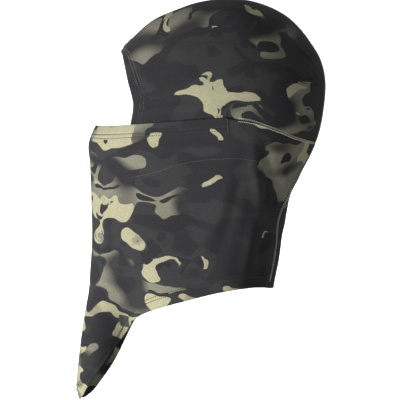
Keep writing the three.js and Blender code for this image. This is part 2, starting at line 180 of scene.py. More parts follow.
# Folds: at (x, z), how each runs in degrees above the horizontal, its length, width, height and bend.
hoodFolds = [
    {"at": (-62, -91), "runs": 41, "long": 32, "wide": 2.6, "high": -2.5, "bend": 0.006},
    {"at": (-60, -97), "runs": 38, "long": 30, "wide": 2.6, "high": 2.1, "bend": 0.005},
    {"at": (-66, -106), "runs": 24, "long": 26, "wide": 2.2, "high": -1.7, "bend": 0.004},
    {"at": (-46, -109), "runs": 6, "long": 36, "wide": 1.8, "high": 1.4, "bend": -0.002},
    {"at": (-38, -114), "runs": 4, "long": 36, "wide": 1.6, "high": -1.3, "bend": -0.002},
    {"at": (20, -113), "runs": -8, "long": 40, "wide": 2.4, "high": 0.8, "bend": -0.002},
    {"at": (77, -56), "runs": -50, "long": 26, "wide": 1.7, "high": 1.2, "bend": 0.002},
    {"at": (80, -66), "runs": -52, "long": 26, "wide": 1.6, "high": 1.2, "bend": 0.002},
    {"at": (84, -78), "runs": -56, "long": 22, "wide": 1.6, "high": 1.1, "bend": 0.0},
    {"at": (76, -104), "runs": 62, "long": 26, "wide": 2.0, "high": 0.9, "bend": 0.0},
    {"at": (60, -116), "runs": 40, "long": 30, "wide": 2.6, "high": 0.8, "bend": 0.002},
]
tubeFolds = [
    {"at": (36, -184), "runs": 92, "long": 60, "wide": 5.0, "high": 3.4, "bend": 0.0},
    {"at": (46, -186), "runs": 90, "long": 54, "wide": 4.6, "high": -5.4, "bend": 0.0},
    {"at": (56, -184), "runs": 80, "long": 40, "wide": 3.4, "high": 2.8, "bend": 0.0},
    {"at": (38, -246), "runs": 84, "long": 40, "wide": 4.6, "high": -4.2, "bend": 0.0},
    {"at": (27, -240), "runs": 80, "long": 50, "wide": 5.0, "high": 2.6, "bend": 0.0},
    {"at": (14, -206), "runs": 74, "long": 66, "wide": 6.5, "high": -2.2, "bend": 0.001},
    {"at": (-2, -222), "runs": 68, "long": 64, "wide": 8.0, "high": 1.8, "bend": 0.001},
    {"at": (-60, -236), "runs": 36, "long": 80, "wide": 10.0, "high": 2.0, "bend": 0.001},
    {"at": (-84, -262), "runs": 30, "long": 60, "wide": 8.0, "high": -1.9, "bend": -0.001},
    {"at": (-120, -196), "runs": 88, "long": 90, "wide": 3.4, "high": -1.8, "bend": 0.0},
    {"at": (-112, -206), "runs": 85, "long": 80, "wide": 4.6, "high": 1.4, "bend": 0.0},
    {"at": (-122, -338), "runs": 62, "long": 40, "wide": 6.0, "high": 1.6, "bend": 0.0},
    {"at": (-40, -146), "runs": 4, "long": 60, "wide": 3.6, "high": 1.1, "bend": 0.001},
    {"at": (-50, -152), "runs": 10, "long": 44, "wide": 3.2, "high": -1.1, "bend": 0.001},
]


def folded(folds, x, z, rightSide):
    # Each fold is a ridge along a slightly bent line, of height * exp(-(across / width)^2) times
    # (1 - (along / length)^2)^2.
    total = np.zeros_like(x)
    for k, fold in enumerate(folds):
        shift = np.where(rightSide, 9.0 * math.sin(2.3 * k + 1), 0.0)  # the right side folds its own way
        c, s = math.cos(math.radians(fold["runs"])), math.sin(math.radians(fold["runs"]))
        dx, dz = x - fold["at"][0] - shift, z - fold["at"][1] + shift
        a, b = dx * c + dz * s, -dx * s + dz * c
        b = b - fold["bend"] * a**2
        window = np.clip(1 - (a / fold["long"]) ** 2, 0, 1) ** 2
        total = total + fold["high"] * np.exp(-((b / fold["wide"]) ** 2)) * window
    return total


def sweptLeast(x, z):
    # The least half-breadth that the mask has as it drops past a place: the cheek beneath is kept inside it.
    far = np.hypot(x - hinge[0], z - hinge[2])
    now = np.arctan2(hinge[2] - z, hinge[0] - x)
    least = np.full_like(x, 1e3)
    for turn in np.linspace(0, widestDrop, 9):
        angle = np.maximum(now - turn, -0.02)
        least = np.minimum(least, breadthAt(hinge[0] - far * np.cos(angle), hinge[2] - far * np.sin(angle)))
    return least


hems = {"faceWide": 12, "maskWide": 13, "bottomWide": 14, "rowsApart": 3.6, "fromFold": 1.5,
        "swell": 0.5, "pull": 0.6}  # a hem of two layers swells, and its stitches pull it in


def hemRelief(inset, wide):
    # Swollen between the fold and the rows, with a narrow valley along each row of stitches.
    upper, lower = wide - hems["fromFold"] - hems["rowsApart"], wide - hems["fromFold"]
    swell = hems["swell"] * (1 - fade(wide - 1, wide + 1.5, inset))
    rows = np.exp(-((inset - upper) / 0.9) ** 2) + np.exp(-((inset - lower) / 0.9) ** 2)
    return swell - hems["pull"] * rows


def hoodCloth(turn, z):
    p = skin(turn, z)
    x, y = p[..., 0], p[..., 1]
    beneath = (z < hinge[2]) & (x < hinge[0])
    least = sweptLeast(x, np.minimum(z, hinge[2]))
    p[..., 1] = np.where(beneath, np.sign(y) * np.minimum(np.abs(y), least), y)
    n = outward(skin, turn, z)
    quiet = fade(0, 25, np.abs(y))  # folds die out at the middle seams
    rise = 1 + quiet * folded(hoodFolds, x, z, y > 0)
    rise = rise + 0.25 * quiet * waves(p, (46, 46, 30), 3, 12)
    inset = x - along(edges["faceOpening"], -z)
    rise = rise + hemRelief(inset, hems["faceWide"]) * fade(-54, -62, z)
    overSeam = z - along(edges["sideSeam"], x)
    tucked = hood["tuckDeep"] * fade(2, -0.6, overSeam) * fade(6, 14, x)  # the edge beneath the tube
    rise = rise - tucked
    return p + n * rise[..., None]


# How far the tube's outside stands off the skin, in millimetres.
standOff = {"level": 2.6, "jaw": 0.9, "front": 3.4, "behind": 1.6}


def tubeRise(x, z):
    # Most along the front ridge, by the cube of the way there, and least behind.
    front, middle, back = outline("front", z), outline("widestAlong", z), outline("back", z)
    ahead = np.clip((middle - x) / (middle - front), 0, 1)
    behind = np.clip((x - middle) / (back - middle), 0, 1)
    jaw, less = standOff["jaw"] * fade(-150, -185, z), standOff["behind"] * fade(0.2, 0.75, behind)
    return standOff["level"] + jaw + (standOff["front"] - jaw) * ahead**3 - less


def tubeCloth(turn, z):
    p = skin(turn, z)
    x, y = p[..., 0], p[..., 1]
    n = outward(skin, turn, z)
    quiet = fade(0, 14, np.abs(y))
    rise = tubeRise(x, z) + quiet * folded(tubeFolds, x, z, y > 0)
    rise = rise + 0.5 * quiet * waves(p, (60, 60, 44), 8, 12) * fade(-128, -160, z)
    rise = rise + hemRelief(along(edges["maskTop"], x) - z, hems["maskWide"]) * fade(16, 8, x)
    above = z - along(edges["hem"], x) - hemShift(x, turn)
    rise = rise + hemRelief(above, hems["bottomWide"]) * fade(-250, -265, z)
    return p + n * rise[..., None]


def addMesh(name, verts, faces):
    mesh = bpy.data.meshes.new(name)
    mesh.from_pydata((np.asarray(verts) * mm).tolist(), [], [list(f) for f in faces])
    mesh.polygons.foreach_set("use_smooth", [True] * len(mesh.polygons))
    mesh.update()
    piece = bpy.data.objects.new(name, mesh)
    bpy.context.collection.objects.link(piece)
    return piece


def gridFaces(rows, columns):
    r, c = np.mgrid[0:rows - 1, 0:columns - 1]
    a = r * columns + c
    return np.stack([a, a + columns, a + columns + 1, a + 1], -1).reshape(-1, 4)


def facingOut(points, up):
    # The grid with its columns turned round where its faces would look inwards.
    down, across = np.gradient(points, axis=0), np.gradient(points, axis=1)
    looks = (np.cross(down, across) * up).sum()
    return points if looks > 0 else points[:, ::-1]


def mergeDoubles(piece):
    work = bmesh.new()
    work.from_mesh(piece.data)
    bmesh.ops.remove_doubles(work, verts=work.verts, dist=1e-6)
    bmesh.ops.dissolve_degenerate(work, edges=work.edges, dist=1e-7)
    work.to_mesh(piece.data)
    work.free()


def newMaterial(name):
    made = bpy.data.materials.new(name)
    made.use_nodes = True
    nodes, links = made.node_tree.nodes, made.node_tree.links
    return made, nodes, links, nodes["Principled BSDF"]


def node(nodes, kind, **settings):
    made = nodes.new(kind)
    for key, value in settings.items():
        setattr(made, key, value)
    return made


def calculate(nodes, links, operation, *values, clamp=False):
    made = node(nodes, "ShaderNodeMath", operation=operation, use_clamp=clamp)
    for socket, value in zip(made.inputs, values):
        if isinstance(value, (int, float)):
            socket.default_value = value
        else:
            links.new(value, socket)
    return made.outputs[0]


def mixColour(nodes, links, factor, a, b):
    made = node(nodes, "ShaderNodeMix", data_type="RGBA")
    for socket, value in ((made.inputs[0], factor), (made.inputs[6], a), (made.inputs[7], b)):
        if isinstance(value, (int, float, tuple)):
            socket.default_value = value
        else:
            links.new(value, socket)
    return made.outputs[2]


knit = {
    "loopWide": 0.95, "loopHigh": 1.2,  # millimetres between the knit's ribs and between its courses
    "courseShare": 0.35,  # how much of the grain is courses, the rest being ribs
    "charcoal": (0.0185, 0.0185, 0.0203, 1), "slate": (0.0255, 0.0253, 0.0265, 1),
    "olive": (0.142, 0.138, 0.105, 1), "khaki": (0.262, 0.249, 0.163, 1), "toned": (0.145, 0.138, 0.1, 1),
    "inside": (0.019, 0.019, 0.0195, 1),
    "sheen": 0.03, "sheenRoughness": 0.5, "roughness": 0.9, "specular": 0.1,
    "fuzzScale": 900, "fuzzDetail": 3,
    "shade": (0.18, 0.97), "speck": (0.9, 0.55),  # how the grain and the fuzz shade it: share and start
    "grainBump": (0.6, 0.12), "fuzzBump": (0.4, 0.15),  # strength, and height in millimetres
}


def knitGrain(nodes, links):
    # Ribs upright and courses across, as two crossed waves in the cloth's own flat coordinates.
    place = node(nodes, "ShaderNodeSeparateXYZ")
    links.new(node(nodes, "ShaderNodeUVMap", uv_map="cloth").outputs[0], place.inputs[0])
    turns = [calculate(nodes, links, "MULTIPLY", place.outputs[k], 2 * math.pi / (knit[size] * mm))
             for k, size in enumerate(("loopWide", "loopHigh"))]
    rib, course = (calculate(nodes, links, "SINE", turn) for turn in turns)
    ribs = calculate(nodes, links, "MULTIPLY", rib, 1 - knit["courseShare"])
    return calculate(nodes, links, "MULTIPLY_ADD", course, knit["courseShare"], ribs)


def field(nodes, key):
    return node(nodes, "ShaderNodeAttribute", attribute_name=key).outputs["Fac"]


def patch(nodes, links, key, rough, soft):
    # A crisp-edged patch where the field is above zero, its rim broken up by the knit.
    edge = node(nodes, "ShaderNodeMapRange", interpolation_type="SMOOTHSTEP")
    edge.inputs["From Min"].default_value = -soft
    edge.inputs["From Max"].default_value = soft
    links.new(calculate(nodes, links, "ADD", field(nodes, key), rough), edge.inputs["Value"])
    return edge.outputs[0]


def printedColour(nodes, links, fuzz):
    rough = calculate(nodes, links, "MULTIPLY", calculate(nodes, links, "SUBTRACT", fuzz, 0.5), 0.09)
    slate = patch(nodes, links, "slate", rough, 0.3)
    colour = mixColour(nodes, links, slate, knit["charcoal"], knit["slate"])
    soft = calculate(nodes, links, "MULTIPLY", patch(nodes, links, "olive", rough, 0.05),
                     field(nodes, "oliveFade"), clamp=True)
    colour = mixColour(nodes, links, soft, colour, knit["olive"])
    khaki = mixColour(nodes, links, field(nodes, "toned"), knit["khaki"], knit["toned"])
    colour = mixColour(nodes, links, patch(nodes, links, "khaki", rough, 0.03), colour, khaki)
    return mixColour(nodes, links, patch(nodes, links, "spots", rough, 0.04), colour, knit["charcoal"])


def addBump(nodes, links, height, strength, distance, normal=None):
    made = node(nodes, "ShaderNodeBump")
    made.inputs["Strength"].default_value = strength
    made.inputs["Distance"].default_value = distance * mm
    links.new(height, made.inputs["Height"])
    if normal:
        links.new(normal, made.inputs["Normal"])
    return made.outputs[0]


def setFinish(shader, roughness, specular, sheen=0.0):
    shader.inputs["Roughness"].default_value = roughness
    shader.inputs["Specular IOR Level"].default_value = specular
    shader.inputs["Sheen Weight"].default_value = sheen


def clothMaterial(name, printed):
    made, nodes, links, shader = newMaterial(name)
    fuzz = node(nodes, "ShaderNodeTexNoise")
    fuzz.inputs["Scale"].default_value = knit["fuzzScale"]
    fuzz.inputs["Detail"].default_value = knit["fuzzDetail"]
    links.new(node(nodes, "ShaderNodeTexCoord").outputs["Object"], fuzz.inputs["Vector"])
    grain = knitGrain(nodes, links)
    colour = printedColour(nodes, links, fuzz.outputs[0]) if printed else knit["inside"]
    shade = calculate(nodes, links, "MULTIPLY_ADD", grain, *knit["shade"])
    speck = calculate(nodes, links, "MULTIPLY_ADD", fuzz.outputs[0], *knit["speck"])
    # Painted shade and a speckle: the colour darkens in the knit's low ribs and courses, where its bump is
    # low, and the fuzz speckles it at random.
    knitShadeAndSpeck = calculate(nodes, links, "MULTIPLY", shade, speck)
    dark = node(nodes, "ShaderNodeVectorMath", operation="SCALE")
    if printed:
        links.new(colour, dark.inputs[0])
    else:
        dark.inputs[0].default_value = colour[:3]
    links.new(knitShadeAndSpeck, dark.inputs["Scale"])
    links.new(dark.outputs[0], shader.inputs["Base Color"])
    bump = addBump(nodes, links, grain, *knit["grainBump"])
    bump = addBump(nodes, links, fuzz.outputs[0], *knit["fuzzBump"], bump)
    links.new(bump, shader.inputs["Normal"])
    setFinish(shader, knit["roughness"], knit["specular"], knit["sheen"])
    shader.inputs["Sheen Roughness"].default_value = knit["sheenRoughness"]
    return made


def threadMaterial(name, colour):
    # Twisted thread: fine light and dark flecks.
    made, nodes, links, shader = newMaterial(name)
    twist = node(nodes, "ShaderNodeTexNoise")
    twist.inputs["Scale"].default_value = 2200
    links.new(node(nodes, "ShaderNodeTexCoord").outputs["Object"], twist.inputs["Vector"])
    tint = mixColour(nodes, links, twist.outputs[0], tuple(0.7 * c for c in colour) + (1,),
                     tuple(min(1.25 * c, 1) for c in colour) + (1,))
    links.new(tint, shader.inputs["Base Color"])
    links.new(addBump(nodes, links, twist.outputs[0], 0.4, 0.05), shader.inputs["Normal"])
    setFinish(shader, 0.7, 0.3, 0.15)
    return made


def labelMaterial(name, colour):
    # Plain woven tape: a tight over-and-under weave of two crossed waves.
    made, nodes, links, shader = newMaterial(name)
    place = node(nodes, "ShaderNodeSeparateXYZ")
    links.new(node(nodes, "ShaderNodeUVMap", uv_map="cloth").outputs[0], place.inputs[0])
    threadsApart = 0.3 * mm
    turns = [calculate(nodes, links, "MULTIPLY", place.outputs[k], 2 * math.pi / threadsApart)
             for k in (0, 1)]
    crossed = [calculate(nodes, links, "SINE", turn) for turn in turns]
    weave = calculate(nodes, links, "MULTIPLY", *crossed)
    tint = mixColour(nodes, links, calculate(nodes, links, "MULTIPLY_ADD", weave, 0.5, 0.5),
                     tuple(0.75 * c for c in colour) + (1,), tuple(min(1.2 * c, 1) for c in colour) + (1,))
    links.new(tint, shader.inputs["Base Color"])
    links.new(addBump(nodes, links, weave, 0.5, 0.06), shader.inputs["Normal"])
    setFinish(shader, 0.6, 0.35)
    return made


printedKnit = clothMaterial("printedKnit", True)
plainKnit = clothMaterial("plainBlackKnit", False)
threads = {
    "black_thread": threadMaterial("blackThread", (0.008, 0.008, 0.008)),
    "grey_thread": threadMaterial("greyThread", (0.09, 0.09, 0.083)),
    "tan_thread": threadMaterial("tanThread", (0.5, 0.485, 0.385)),
}
tapes = {
    "hem": labelMaterial("hemTape", (0.018, 0.019, 0.017)),
    "care": labelMaterial("careTape", (0.5, 0.5, 0.49)),
}


camouflage = {
    "khakiSize": (118, 118, 42), "oliveSize": (124, 124, 60),
    "spotSize": (46, 46, 17), "slateSize": (60, 60, 40),
    "khakiLevel": 1.12, "oliveLevel": 0.66, "spotLevel": 1.4, "slateLevel": 0.1,
    "bend": 11, "bendSize": (46, 46, 34), "ripple": 1.8, "rippleSize": (17, 17, 13), "slope": 0.1,
}


def patternFields(points, seed):
    # Patches are where smooth random fields, longer than they are high, pass a level. Two first fields, one
    # long and one short, bend the places at which the rest are read, so the patches have lobes and bays.
    p = points.reshape(-1, 3)
    c = camouflage
    bent = p.copy()
    for axis in range(3):
        bent[:, axis] += c["bend"] * waves(p, c["bendSize"], seed + 11 + axis, 24)
        bent[:, axis] += c["ripple"] * waves(p, c["rippleSize"], seed + 31 + axis, 24)
    bent[:, 2] += c["slope"] * p[:, 0]
    khaki = waves(bent, c["khakiSize"], seed + 1) - c["khakiLevel"]
    olive = waves(bent, c["oliveSize"], seed + 2) - c["oliveLevel"]
    spots = waves(bent, c["spotSize"], seed + 3, 30) - c["spotLevel"]
    slate = waves(bent, c["slateSize"], seed + 4) - c["slateLevel"]
    oliveFade = np.clip(0.62 + 0.6 * waves(p, (50, 50, 30), seed + 5, 16), 0, 1)
    toned = 0.8 * fade(0.9, 1.7, waves(p, (38, 38, 26), seed + 6, 20))  # soft shadows inside the khaki
    return {"khaki": khaki, "olive": olive, "spots": spots, "slate": slate,
            "oliveFade": oliveFade, "toned": toned}


def flatMap(points):
    # The cloth's own flat coordinates: metres along each row and down each column of the grid.
    columns = points.shape[1]
    across = np.cumsum(np.linalg.norm(np.diff(points, axis=1, prepend=points[:, :1]), axis=-1), 1)
    down = np.cumsum(np.linalg.norm(np.diff(points, axis=0, prepend=points[:1]), axis=-1), 0)
    across = across - across[:, columns // 2][:, None]
    return np.stack([across, down], -1).reshape(-1, 2) * mm


def makeCloth(name, points, up, thick, seed=None, outside=None, inside=None):
    # A cloth from a grid of points, with its outside, its inside and its pattern fields per vertex.
    points = facingOut(points, up)
    piece = addMesh(name, points.reshape(-1, 3), gridFaces(*points.shape[:2]))
    mesh = piece.data
    fields = {} if seed is None else patternFields(points, seed)
    for key, value in fields.items():
        mesh.attributes.new(key, "FLOAT", "POINT").data.foreach_set("value", value.astype(np.float32))
    corner = np.zeros(len(mesh.loops), np.int32)
    mesh.loops.foreach_get("vertex_index", corner)
    flat = flatMap(points).astype(np.float32)
    mesh.uv_layers.new(name="cloth").data.foreach_set("uv", flat[corner].ravel())
    mergeDoubles(piece)
    mesh.materials.append(outside or printedKnit)
    mesh.materials.append(inside or plainKnit)
    wall = piece.modifiers.new("thickness", "SOLIDIFY")
    wall.thickness = thick * mm
    wall.offset = -1
    wall.use_even_offset = False
    wall.material_offset = 1
    wall.material_offset_rim = 1
    return piece


def bendWithMask(piece):
    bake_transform(piece)


def take(piece, slot, *nodes):
    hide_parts(*nodes)
    return piece


hood = {"columns": 100, "rows": 104, "thick": 0.9,
        "browRow": 0.40, "browAt": -48, "cornerRow": 0.56, "cornerAt": -60, "lowest": -180,
        "rimEnd": -198,  # where the opening's hem ends, inside the tube
        "seamGap": 0.15, "tuck": 2.5, "tuckDeep": 1.3, "cheekLonger": 22,
        "flat": (0.205, 0.2), "area": 0.0335, "seeds": {"left": 21, "right": 58}}


def openingTurn(z):
    back = along(edges["faceOpening"], -z)
    return np.where(z > -edges["faceOpening"][0][0], 0.0, turnAt(back, z))


def hoodRow(share):
    # Row heights: by the square near the crown, close together at the brow's corner, then even.
    brow, corner, browAt, cornerAt = (hood[key] for key in ("browRow", "cornerRow", "browAt", "cornerAt"))
    top = browAt * (share / brow) ** 2
    middle = browAt + (cornerAt - browAt) * (share - brow) / (corner - brow)
    low = cornerAt + (hood["lowest"] - cornerAt) * (share - corner) / (1 - corner)
    return np.where(share < brow, top, np.where(share < corner, middle, low))


def hoodPlace(across, down):
    z = hoodRow(down)
    turn = openingTurn(z) * (1 - across) + np.pi * across
    x = skin(turn, np.full_like(z, hinge[2]))[..., 0]
    cheek, seam = heightOn("jawLine", turn) - 5, heightOn("sideSeam", turn) - hood["tuck"]
    cheek = cheek - hood["cheekLonger"] * fade(-30, -70, x)  # so that the lowered mask still covers its end
    edge = cheek + (seam - cheek) * fade(-6, 14, x)
    share = np.clip((z - hood["cornerAt"]) / (hood["lowest"] - hood["cornerAt"]), 0, 1)
    return turn, z + (edge - hood["lowest"]) * share


def makeHood():
    for side, sign in (("left", 1), ("right", -1)):
        across, down = np.meshgrid(np.linspace(0, 1, hood["columns"] + 1) ** 1.25,
                                   np.linspace(0, 1, hood["rows"] + 1))
        turn, z = hoodPlace(across, down)
        points = hoodCloth(sign * turn, z)
        up = outward(skin, sign * turn, z)
        points[..., 1] -= sign * hood["seamGap"]
        piece = makeCloth(f"hoodPanel_{side}", points, up, hood["thick"], hood["seeds"][side])
        take(piece, "camouflage_knit", f"hood_panel_{side}")
        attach(piece, "hood")
    print("hood panels made")


tube = {"columns": 330, "closer": 0.35,  # how much closer its columns stand at the quarters
        "topRows": 14, "middleRows": 100, "bottomRows": 15, "thick": 0.9,
        "flat": (0.5, 0.27), "area": 0.095, "seed": 90}


def tubeTop(turn):
    x = skin(np.abs(turn), np.full_like(turn, hinge[2]))[..., 0]
    return np.where(x < 12, heightOn("maskTop", turn), heightOn("sideSeam", turn) - 0.2)


def tubeRows():
    # Close rows in both hems, even ones between them.
    t, m, b = tube["topRows"], tube["middleRows"], tube["bottomRows"]
    middleRows, bottomRows = (np.linspace(0, 1, count + 1)[1:] for count in (m, b))
    return np.concatenate([np.linspace(0, 1, t + 1), 1 + middleRows, 2 + bottomRows])


def tubePlace(turn, row):
    top, bottom = tubeTop(turn), hemHeight(turn)
    upper, lower = top - hems["maskWide"] - 1, bottom + hems["bottomWide"] + 1
    return np.where(row < 1, top + (upper - top) * row, np.where(
        row < 2, upper + (lower - upper) * (row - 1), lower + (bottom - lower) * (row - 2)))


def makeTube():
    even = np.linspace(-np.pi, np.pi, tube["columns"] + 1)
    turn, row = np.meshgrid(even + tube["closer"] / 4 * np.sin(4 * even), tubeRows())
    z = tubePlace(turn, row)
    up = outward(skin, turn, z)
    piece = makeCloth("neckTubeAndMask", tubeCloth(turn, z), up, tube["thick"], tube["seed"])
    take(piece, "camouflage_knit", "neck_tube", "mask_panel")
    bendWithMask(piece)
    print("neck tube and mask made")


def openingRoute(inset, share):
    # The rim of the face opening, from the left jaw over the brow to the right jaw, set in from its edge.
    side, up = np.sign(share - 0.5), np.abs(share - 0.5) * 2
    browAt, bend = hood["browAt"], 0.3  # the share of each half that runs along the brow
    brow, corner, level = browAt + inset, hood["cornerAt"] - browAt, np.minimum(up / bend, 1)
    low = brow + corner + (hood["rimEnd"] - brow) * (up - bend) / (1 - bend)
    z = np.where(up < bend, brow + corner * level**2, low)
    rim = skin(openingTurn(np.minimum(z - inset * (1 - level), browAt)), z)[..., 0] + inset * level
    return side * np.where(up < 0.01, 1e-4, turnAt(rim, z)), z


def maskRoute(drop, share):
    # Across the mask at a drop below its top edge, from its left corner to its right.
    turn = (share - 0.5) * 2 * turnAt(hinge[0] + 1, hinge[2])
    turn = np.where(np.abs(turn) < 1e-4, 1e-4, turn)
    return turn, heightOn("maskTop", turn) - drop


def hemRoute(rise, share):
    # Round the whole tube at a rise above its bottom edge.
    turn = (share - 0.5) * 2 * (np.pi - 0.01)
    turn = np.where(np.abs(turn) < 1e-4, 1e-4, turn)
    return turn, hemHeight(turn) + rise


fold = {"thick": 0.4, "radius": 0.78, "beneath": 1.35}


def foldedHem(name, surface, route, wide, steps, seed):
    # A hem turned to the inside: each row is the cloth at an inset, plus a lift along its normal and a bulge
    # past the rim. The rows go from the outside round a half circle at the rim, then lie beneath the cloth.
    r, low = fold["radius"], fold["beneath"]
    roll = np.radians(np.linspace(15, 165, 7))
    rows = [(1.8, -0.25, 0), (0.5, 0.02, 0)]
    rows += [(0, r * math.cos(a) - 0.75, r * math.sin(a)) for a in roll]
    rows += [(inset, -low, 0) for inset in np.linspace(1.5, wide, 7)]
    share = np.linspace(0.002, 0.998, steps + 1)
    rim, near = (surface(*route(inset, share)) for inset in (0.05, 2.0))
    past = unit(rim - near)
    grid, lift = [], []
    for inset, high, bulge in rows:
        turn, z = route(max(inset, 0.05), share)
        n = outward(skin, turn, z)
        grid.append(surface(turn, z) + high * n + bulge * past)
        lift.append(n)
    grid, lift = np.array(grid), np.array(lift)
    lift[2:] = 0  # only the first rows say which way is out
    return makeCloth(name, grid, lift, fold["thick"], seed, plainKnit if seed is None else printedKnit)


def makeHems():
    pieces = (
        ("faceHem", "face_hem_facing", hoodCloth, openingRoute, 260, None, (0.44, 0.016)),
        ("maskHem", "mask_hem_facing", tubeCloth, maskRoute, 220, tube["seed"], (0.32, 0.017)),
        ("bottomHem", "bottom_hem_facing", tubeCloth, hemRoute, 300, tube["seed"], (0.48, 0.018)),
    )
    for name, replaced, surface, route, steps, seed, flat in pieces:
        piece = foldedHem(name, surface, route, hems[name.replace("Hem", "Wide")], steps, seed)
        take(piece, "black_knit" if seed is None else "camouflage_knit", replaced)
        if name == "maskHem":
            bendWithMask(piece)
        else:
            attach(piece, "hood")
    print("hems made")


def stitches(starts, ends, up, radius, arch):
    # Each stitch is a thin closed capsule: a ring of six carried from start to end at s = -1 to 1, arched
    # over the cloth by arch * (1 - s^2) and sunk into it at both ends.
    s = np.array([-1, -0.8, 0, 0.8, 1])
    thin = radius * np.array([0.3, 0.85, 1, 0.85, 0.3])
    lift = arch * (1 - s**2) - radius * np.abs(s) ** 3
    middle, half = (starts + ends) / 2, (ends - starts) / 2
    side = unit(np.cross(half, up))
    top = unit(np.cross(side, half))
    angle = np.arange(6) * math.pi / 3
    ring = np.cos(angle)[:, None] * side[:, None] + np.sin(angle)[:, None] * top[:, None]
    centre = middle[:, None] + s[:, None] * half[:, None] + lift[:, None] * up[:, None]
    verts = centre[:, :, None] + thin[:, None, None] * ring[:, None]
    k, j = np.mgrid[0:4, 0:6]
    a, b = k * 6 + j, k * 6 + (j + 1) % 6
    walls = np.stack([a, a + 6, b + 6, b], -1).reshape(-1, 4)
    caps = [np.arange(6), 24 + np.arange(6)[::-1]]
    first = np.arange(len(starts)) * 30
    faces = (first[:, None, None] + walls).reshape(-1, 4).tolist()
    faces += [(n + cap).tolist() for cap in caps for n in first]
    return verts.reshape(-1, 3), faces


def paced(surface, route, pitch, ends=(0.002, 0.998)):
    # Points every half pitch along a route over a cloth, by its real length, with the cloth's normals there.
    share = np.linspace(*ends, 1500)
    turn, z = route(share)
    p, n = surface(turn, z), outward(surface, turn, z)
    length = np.concatenate([[0], np.cumsum(np.linalg.norm(np.diff(p, axis=0), axis=1))])
    at = np.arange(0, length[-1], pitch / 2)
    pick = lambda values: np.stack([np.interp(at, length, values[:, k]) for k in range(3)], 1)
    return pick(p), unit(pick(n))


def runningRow(surface, route, pitch, radius, covers=0.78, arch=0.22):
    # A row of straight stitches, each covering a share of the pitch.
    p, n = paced(surface, route, pitch)
    count = (len(p) - 1) // 2
    starts, ends, up = p[0:2 * count:2], p[2:2 * count + 1:2], n[1:2 * count:2]
    spare = (ends - starts) * (1 - covers) / 2
    return stitches(starts + spare + 0.1 * up, ends - spare + 0.1 * up, up, radius, arch)


def zigzag(over, under, upOver, upUnder, radius, arch):
    # A thread that goes to and fro between two rows of points.
    count = min(len(over), len(under)) - 1
    up = unit(upOver[:count] + upUnder[:count])
    going = stitches(over[:count], under[:count], up, radius, arch)
    coming = stitches(under[:count], over[1:count + 1], up, radius, arch)
    return joined([going, coming])


def joined(parts):
    verts, faces, first = [], [], 0
    for v, f in parts:
        verts.append(v)
        faces += [[first + i for i in face] for face in f]
        first += len(v)
    return np.concatenate(verts), faces


def makeThread(name, slot, parts, *nodes, bends=False):
    verts, faces = joined(parts)
    piece = addMesh(name, verts, faces)
    piece.data.materials.append(threads[slot])
    take(piece, slot, *nodes)
    if bends:
        bendWithMask(piece)
    else:
        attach(piece, "hood")
    return piece


sewing = {
    "pitch": 2.4, "thread": 0.34,  # hem rows
    "seamPitch": 1.7, "seamHalf": 1.5, "seamThread": 0.24, "crossThread": 0.1,  # side seams
    "jawPitch": 2.0, "jawThread": 0.17,
    "tackTop": -120.6, "tackBottom": -133.6, "tackStitches": 34, "tackThread": 0.24, "looseThread": 0.12,
}


def makeRows():
    hemRows = {  # each hem's cloth, route, width and thread
        "face": (hoodCloth, openingRoute, hems["faceWide"], "grey_thread"),
        "mask": (tubeCloth, maskRoute, hems["maskWide"], "black_thread"),
        "bottom": (tubeCloth, hemRoute, hems["bottomWide"], "black_thread"),
    }
    rows = (
        ("faceStitch_inner", "face", 0, "face_hem_stitch_inner"),
        ("faceStitch_outer", "face", 1, "face_hem_stitch_outer"),
        ("maskStitch_lower", "mask", 0, "mask_stitch_lower"),
        ("maskStitch_upper", "mask", 1, "mask_stitch_upper"),
        ("bottomStitch_upper", "bottom", 0, "bottom_stitch_upper"),
        ("bottomStitch_lower", "bottom", 1, "bottom_stitch_lower"),
    )
    for name, hem, nearer, replaced in rows:
        surface, route, wide, slot = hemRows[hem]
        inset = wide - hems["fromFold"] - nearer * hems["rowsApart"]
        part = runningRow(surface, lambda share: route(inset, share), sewing["pitch"], sewing["thread"])
        makeThread(name, slot, [part], replaced, bends=hem == "mask")
    print("hem stitches made")


def makeBartacks():
    # Satin stitches packed side by side over the hem's end, with two loose threads.
    for side, sign in (("left", 1), ("right", -1)):
        z = np.linspace(sewing["tackTop"], sewing["tackBottom"], sewing["tackStitches"])
        turn = sign * turnAt(hinge[0] + 1.5 + 0 * z, z)
        ahead = sign * turnAt(hinge[0] - 0.9 + 0 * z, z)
        up = outward(skin, turn, z)
        parts = [stitches(tubeCloth(turn, z), tubeCloth(ahead, z), up, sewing["tackThread"], 0.45)]
        ends = np.array([tubeCloth(turn[-1:], z[-1:])[0], tubeCloth(ahead[-1:], z[-1:])[0]])
        loose = ends + [[0.9, 0, -5.5], [-0.4, 0, -4]]
        parts.append(stitches(ends, loose, up[-2:], sewing["looseThread"], 0.5))
        makeThread(f"bartack_{side}", "black_thread", parts, f"bartack_{side}")
    print("bartacks made")


def makeSideSeams():
    # Flatlock: a straight row on each cloth, and a thread to and fro across the join.
    for side, sign in (("left", 1), ("right", -1)):
        def route(offset):
            def place(share):
                turn = turnAt(22.0, -121.5) * (1 - share) + (np.pi - 0.03) * share
                return sign * turn, heightOn("sideSeam", turn) + offset * (1 - 0.5 * share)
            return place
        half, pitch = sewing["seamHalf"], sewing["seamPitch"]
        rows = [runningRow(cloth, route(offset), pitch, sewing["seamThread"], 0.9)
                for cloth, offset in ((hoodCloth, half), (tubeCloth, -half))]
        above, aboveUp = paced(hoodCloth, route(half), pitch)
        below, belowUp = paced(tubeCloth, route(-half), pitch)
        rows.append(zigzag(above[::2], below[1::2], aboveUp[::2], belowUp[1::2], sewing["crossThread"], 0.3))
        makeThread(f"sideSeam_{side}", "tan_thread", rows,
                   f"side_seam_upper_{side}", f"side_seam_lower_{side}", bends=True)
    print("side seams made")


